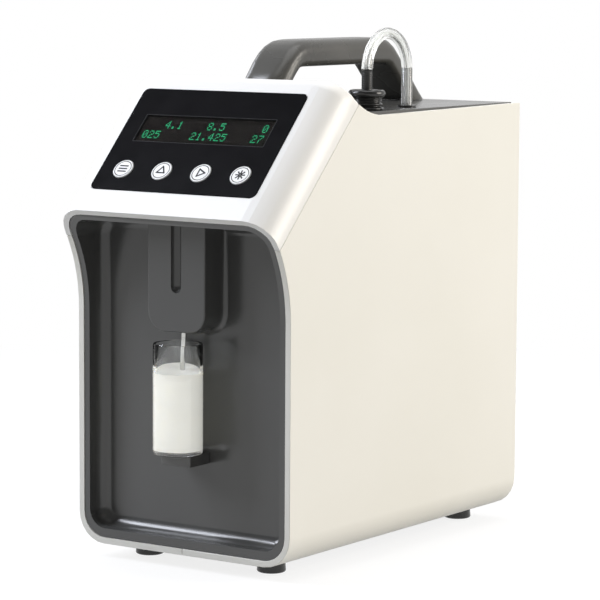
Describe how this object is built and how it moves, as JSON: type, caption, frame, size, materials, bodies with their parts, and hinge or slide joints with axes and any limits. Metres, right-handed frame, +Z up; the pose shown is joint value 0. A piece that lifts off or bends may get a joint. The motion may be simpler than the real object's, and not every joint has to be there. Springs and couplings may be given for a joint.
{
  "type": "milk analyzer",
  "caption": "Bench-top milk analyzer with a slanted key and display panel, an open bay that holds a sample glass under a sipper, a carrying handle and a clear wash-hose loop.",
  "frame": {"origin": "centre of the bounding box's underside, between the feet", "axes": "+Z up, +X to the right seen from the front, +Y from the sampling bay towards the rear panel"},
  "size_m": [0.125, 0.224, 0.2567],
  "materials": {
    "white_abs": "smooth moulded white",
    "ivory_abs": "smooth moulded ivory",
    "dark_grey_abs": "glossy dark grey",
    "handle_abs": "satin dark grey",
    "panel_film": "printed polyester film",
    "window_acrylic": "smoked clear",
    "key_white": "satin white",
    "black_rubber": "black rubber",
    "clear_pvc": "clear flexible tube",
    "sample_glass": "clear borosilicate glass",
    "milk": "milk, an opaque white liquid",
    "stainless_steel": "polished stainless steel",
    "zinc_steel": "zinc plated",
    "aluminium": "machined",
    "circuit_board": "green solder mask",
    "black_nylon": "black nylon",
    "silicone_tube": "translucent silicone"
  },
  "bodies": {
    "case": {"head_cover": "white_abs", "left_side_shell": "ivory_abs", "right_side_shell": "ivory_abs", "bay_liner": "dark_grey_abs", "top_deck": "dark_grey_abs", "rear_panel": "dark_grey_abs", "cup_shelf": "dark_grey_abs", "carry_handle": "handle_abs", "control_panel": "panel_film", "display_window": "window_acrylic", "rubber_gland": "black_rubber", "black_stem_tube": "black_rubber", "pipe_grommet": "black_rubber", "foot_front_left": "black_rubber", "foot_front_right": "black_rubber", "foot_rear_left": "black_rubber", "foot_rear_right": "black_rubber", "clear_hose_loop": "clear_pvc", "clear_pipe": "clear_pvc", "sipper_tube": "stainless_steel", "left_ultrasonic_sensor": "stainless_steel", "right_ultrasonic_sensor": "stainless_steel", "handle_screw_front": "zinc_steel", "handle_screw_rear": "zinc_steel", "foot_screw_front_left": "zinc_steel", "foot_screw_front_right": "zinc_steel", "foot_screw_rear_left": "zinc_steel", "foot_screw_rear_right": "zinc_steel", "rear_screw_lower_left": "zinc_steel", "rear_screw_lower_right": "zinc_steel", "rear_screw_upper_left": "zinc_steel", "rear_screw_upper_right": "zinc_steel", "chassis_plate": "zinc_steel", "pump_bracket": "zinc_steel", "pump_motor": "zinc_steel", "data_port": "zinc_steel", "measuring_cell": "aluminium", "control_board": "circuit_board", "main_board": "circuit_board", "sipper_fitting": "black_nylon", "display_module": "black_nylon", "power_switch": "black_nylon", "power_inlet": "black_nylon", "pump_head": "black_nylon", "sample_tube": "silicone_tube", "cell_tube": "silicone_tube", "outlet_tube": "silicone_tube", "pump_tube": "silicone_tube"},
    "menu_key_body": {"menu_key": "key_white"},
    "up_key_body": {"up_key": "key_white"},
    "next_key_body": {"next_key": "key_white"},
    "start_key_body": {"start_key": "key_white"},
    "rocker_body": {"power_rocker": "black_nylon"},
    "glass_body": {"sample_glass": "sample_glass", "milk_sample": "milk"},
    "rotor_body": {"pump_rotor": "black_nylon"},
    "roller_1_body": {"pump_roller_1": "aluminium"},
    "roller_2_body": {"pump_roller_2": "aluminium"},
    "roller_3_body": {"pump_roller_3": "aluminium"}
  },
  "joints": [
    {"name": "menu_key_press", "type": "slide", "parent": "case", "child": "menu_key_body", "axis": [0, 0.7218, -0.6921], "range_m": [0, 0.0005], "stiffness_N_per_m": 500},
    {"name": "up_key_press", "type": "slide", "parent": "case", "child": "up_key_body", "axis": [0, 0.7218, -0.6921], "range_m": [0, 0.0005], "stiffness_N_per_m": 500},
    {"name": "next_key_press", "type": "slide", "parent": "case", "child": "next_key_body", "axis": [0, 0.7218, -0.6921], "range_m": [0, 0.0005], "stiffness_N_per_m": 500},
    {"name": "start_key_press", "type": "slide", "parent": "case", "child": "start_key_body", "axis": [0, 0.7218, -0.6921], "range_m": [0, 0.0005], "stiffness_N_per_m": 500},
    {"name": "power_rocker_tilt", "type": "hinge", "parent": "case", "child": "rocker_body", "pos_m": [0.03, 0.1089, 0.057], "axis": [1, 0, 0], "range_deg": [0, 16]},
    {"name": "glass_lift", "type": "slide", "parent": "case", "child": "glass_body", "axis": [0, 0, 1], "range_m": [0, 0.0045]},
    {"name": "pump_spin", "type": "hinge", "parent": "case", "child": "rotor_body", "pos_m": [0, 0.0267, 0.043], "axis": [1, 0, 0], "continuous": true},
    {"name": "roller_1_spin", "type": "hinge", "parent": "rotor_body", "child": "roller_1_body", "pos_m": [0, 0.0349, 0.043], "axis": [1, 0, 0], "continuous": true},
    {"name": "roller_2_spin", "type": "hinge", "parent": "rotor_body", "child": "roller_2_body", "pos_m": [0, 0.0226, 0.0501], "axis": [1, 0, 0], "continuous": true},
    {"name": "roller_3_spin", "type": "hinge", "parent": "rotor_body", "child": "roller_3_body", "pos_m": [0, 0.0226, 0.0359], "axis": [1, 0, 0], "continuous": true}
  ],
  "couplings": [
    {"joint": "roller_1_spin", "follows": "pump_spin", "ratio": -3.1579},
    {"joint": "roller_2_spin", "follows": "pump_spin", "ratio": -3.1579},
    {"joint": "roller_3_spin", "follows": "pump_spin", "ratio": -3.1579}
  ]
}
